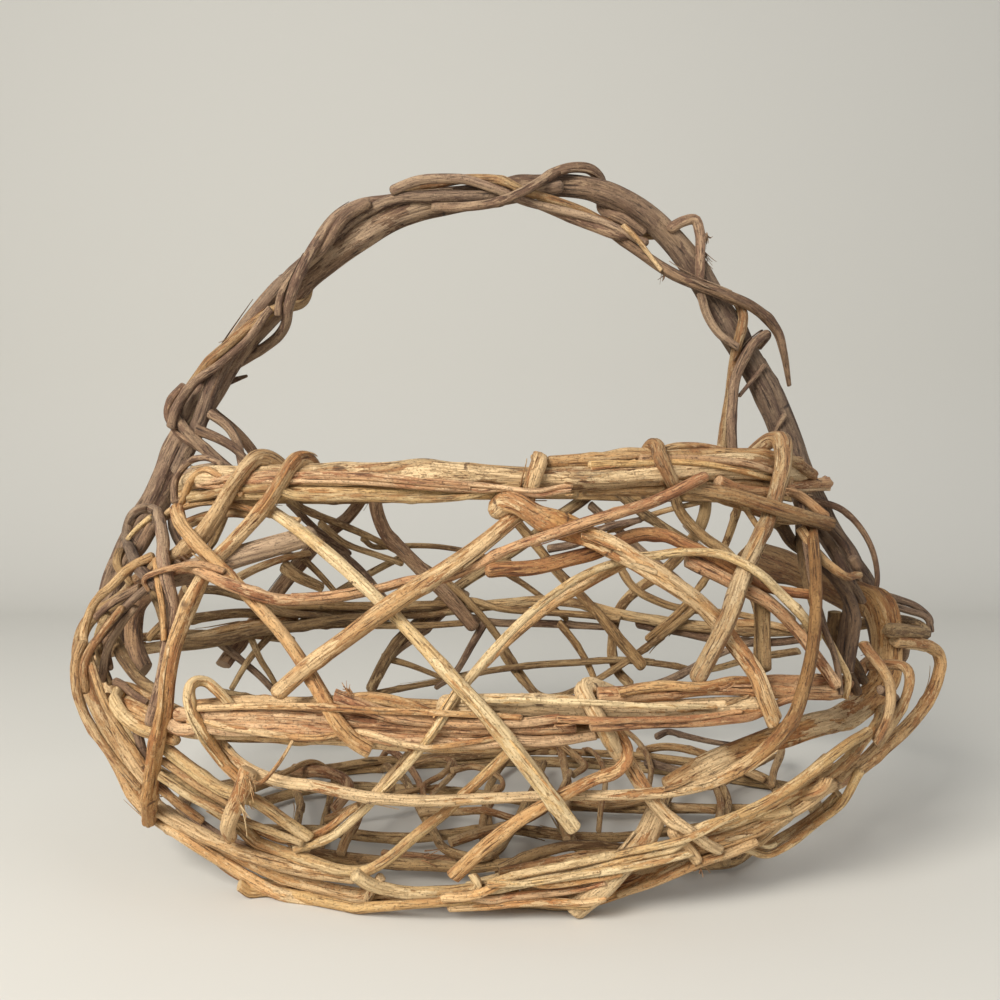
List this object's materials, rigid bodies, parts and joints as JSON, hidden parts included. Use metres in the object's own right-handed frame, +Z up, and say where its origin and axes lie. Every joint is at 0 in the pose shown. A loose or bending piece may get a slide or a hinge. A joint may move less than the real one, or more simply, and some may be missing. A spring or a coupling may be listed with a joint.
{
  "type": "grapevine basket",
  "caption": "Oval open basket of hooked and woven grapevine, with a stout belly hoop, an open lattice wall and a fixed bowed handle wrapped in thinner vines.",
  "frame": {"origin": "on the table, under the middle of the basket's outline", "axes": "+X along the basket's length, +Y from the front wall to the back wall, +Z up"},
  "size_m": [0.4006, 0.2566, 0.304],
  "materials": {
    "taupe_bark": "weathered grey-brown bark",
    "tan_bark": "dry tan bark",
    "straw_bark": "smooth straw-coloured bark",
    "red_bark": "rough red-brown bark",
    "dark_bark": "dull dark bark"
  },
  "bodies": {
    "root": {"handle_bow": "taupe_bark", "handle_companion": "taupe_bark", "handle_wrap_1": "taupe_bark", "handle_wrap_2": "tan_bark", "handle_wrap_3": "taupe_bark", "handle_wrap_4": "tan_bark", "handle_wrap_5": "taupe_bark", "handle_wrap_6": "taupe_bark", "handle_tie_1": "tan_bark", "handle_tie_2": "taupe_bark", "handle_tie_3": "taupe_bark", "rim_front_main": "tan_bark", "rim_front_lower": "straw_bark", "rim_front_upper": "tan_bark", "rim_back_main": "dark_bark", "rim_back_lower": "dark_bark", "rim_left_end": "taupe_bark", "rim_right_end": "red_bark", "hook_left": "tan_bark", "hook_second": "tan_bark", "long_brace_right": "straw_bark", "long_brace_left": "tan_bark", "knotty_brace": "tan_bark", "corner_hook": "tan_bark", "rim_hook": "tan_bark", "red_strand": "red_bark", "arching_strand": "straw_bark", "knee_brace": "tan_bark", "swept_stake": "tan_bark", "looped_hook": "straw_bark", "right_brace": "red_bark", "wedge_hook": "tan_bark", "bent_brace": "tan_bark", "low_left_sweep": "straw_bark", "left_post": "taupe_bark", "forked_vine": "taupe_bark", "belly_left_hoop": "tan_bark", "belly_front_left": "red_bark", "belly_front_right": "tan_bark", "belly_front_upper": "red_bark", "belly_back_hoop": "dark_bark", "big_bend": "tan_bark", "outer_left_sweep": "tan_bark", "base_front_left": "tan_bark", "base_front_right": "tan_bark", "right_sweep": "straw_bark", "outer_right_sweep": "tan_bark", "low_right_bend": "straw_bark", "base_back": "dark_bark", "foot_peg": "tan_bark", "back_weaver_1": "dark_bark", "back_weaver_2": "dark_bark", "back_weaver_3": "taupe_bark", "back_weaver_4": "dark_bark", "back_brace": "dark_bark", "back_low_strand": "dark_bark", "floor_runner_1": "dark_bark", "floor_runner_2": "dark_bark", "floor_weave_1": "dark_bark", "floor_weave_2": "dark_bark"}
  },
  "joints": []
}
